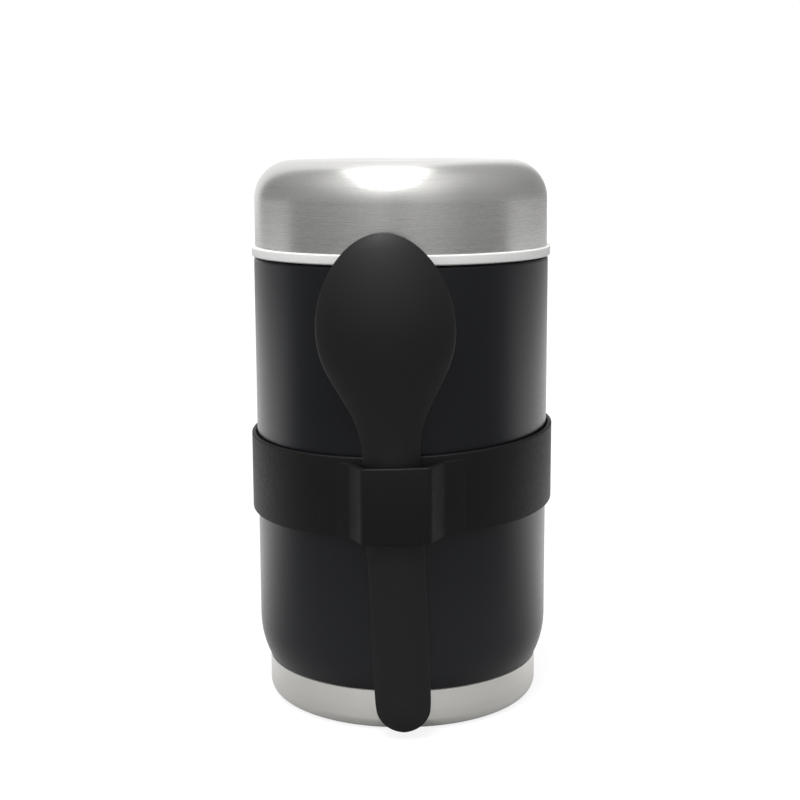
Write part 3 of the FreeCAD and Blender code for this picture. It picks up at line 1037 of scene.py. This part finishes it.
# %% [markdown]
# ## Studio walls
# Polished steel shows the room round it, so the sky holds a plain studio: its level
# changes with the direction from the jar, in degrees to the right of the front. Pale
# walls stand behind, grey gaps at the sides, and two soft panels in front. A picture of a
# room could do this too, but a few levels on a ramp are easier to follow and to change.

# %% Studio walls
studio = [
    (-180, 1.1), (-144, 1.0), (-136, 0.34), (-50, 0.48), (-14, 0.74), (0, 0.58), (12, 0.74),
    (30, 0.68), (55, 0.46), (135, 0.36), (162, 0.42), (174, 1.2), (180, 1.2),
]
brightest = 2.0
world = bpy.data.worlds.new("studio")
bpy.context.scene.world = world
world.use_nodes = True
sky = world.node_tree
sky.nodes.clear()
ray_direction = sky.nodes.new("ShaderNodeTexCoord").outputs["Generated"]
direction = sky.nodes.new("ShaderNodeSeparateXYZ")
sky.links.new(ray_direction, direction.inputs[0])
to_front = math_node(sky, "MULTIPLY", direction.outputs["Y"], -1.0)
around_jar = math_node(sky, "ARCTAN2", direction.outputs["X"], to_front)
levels = sky.nodes.new("ShaderNodeValToRGB")
sky.links.new(ramp(sky, around_jar, 0, 1, (-math.pi, math.pi)), levels.inputs[0])
stops = levels.color_ramp.elements
stops[0].position = 0
stops[1].position = 1
for angle, level in studio[1:-1]:
    stops.new(angle / 360 + 0.5)
for stop, (angle, level) in zip(stops, studio):
    share = level / brightest
    stop.color = (share, share, share, 1)
walls = math_node(sky, "MULTIPLY", levels.outputs[0], brightest)
print("studio walls at", len(studio), "levels")

# %% [markdown]
# ## Soft lights and ceiling
# Two soft round lights hang high in front, one inside the other, and the ceiling is paler
# than the walls. Dull surfaces get an even level from all round, so that their colour
# renders about as it is written.

# %% Soft lights and ceiling


def glow_towards(turn_deg, rise_deg, reach_deg, strength):
    """A soft round light in the sky that fades from its middle to its reach."""
    turn = math.radians(turn_deg)
    rise = math.radians(rise_deg)
    middle = (math.sin(turn) * math.cos(rise), -math.cos(turn) * math.cos(rise), math.sin(rise))
    facing = sky.nodes.new("ShaderNodeVectorMath")
    facing.operation = "DOT_PRODUCT"
    facing.inputs[1].default_value = middle
    sky.links.new(ray_direction, facing.inputs[0])
    fade = ramp(sky, facing.outputs["Value"], 0, strength, (math.cos(math.radians(reach_deg)), 1))
    fade.node.interpolation_type = "SMOOTHSTEP"
    return fade


even_level = 0.7
path = sky.nodes.new("ShaderNodeLightPath")
even = math_node(sky, "MULTIPLY", path.outputs["Is Diffuse Ray"], even_level)
key_light = glow_towards(-16, 64, 14, 22.0)
halo = glow_towards(-12, 62, 55, 0.4)
ceiling = ramp(sky, direction.outputs["Z"], 0.0, 0.25, (0.3, 0.9))
lit = math_node(sky, "MAXIMUM", walls, even)
for light in (key_light, halo, ceiling):
    lit = math_node(sky, "ADD", lit, light)
seen_white = math_node(sky, "MAXIMUM", path.outputs["Is Camera Ray"], path.outputs["Is Transmission Ray"])
backdrop = sky.nodes.new("ShaderNodeBackground")
backdrop.inputs["Color"].default_value = (1, 1, 1, 1)
sky.links.new(math_node(sky, "MAXIMUM", lit, seen_white), backdrop.inputs["Strength"])
sky_out = sky.nodes.new("ShaderNodeOutputWorld")
sky.links.new(backdrop.outputs[0], sky_out.inputs[0])

# %% [markdown]
# ## Overhead lamp
# One large, weak lamp overhead gives the foot its soft shadow on the floor.

# %% Overhead lamp
lamp_data = bpy.data.lights.new("overhead", "AREA")
lamp_data.size = 0.5
lamp_data.energy = 2.0
lamp = bpy.data.objects.new("overhead", lamp_data)
bpy.context.scene.collection.objects.link(lamp)
lamp.location = (-0.1, 0, 1.0)
print("lamp", lamp_data.size, "m wide")

# %% [markdown]
# ## Camera
# The camera stands half a metre in front of the jar, a little above its lid, and looks
# slightly down. Its place and lens were found by matching the ellipses of the rims: a
# higher camera opens them all, and a nearer one opens the lower rims more than the upper.

# %% Camera
look_down = math.radians(9.856)
look_left = math.radians(2.273)
roll = math.radians(-0.25)
camera_data = bpy.data.cameras.new("camera")
camera_data.lens = 68.37
camera_data.sensor_width = 36.0
camera_data.clip_start = 10 * MM
camera = bpy.data.objects.new("camera", camera_data)
bpy.context.scene.collection.objects.link(camera)
camera.location = (0.01908, -0.49373, 0.18305)
camera.rotation_euler = (math.radians(90) - look_down, 0, look_left)
camera.rotation_euler.rotate_axis("Z", roll)
bpy.context.scene.camera = camera
bpy.context.scene.view_settings.view_transform = "Standard"
print("camera", [round(v, 3) for v in camera.location])
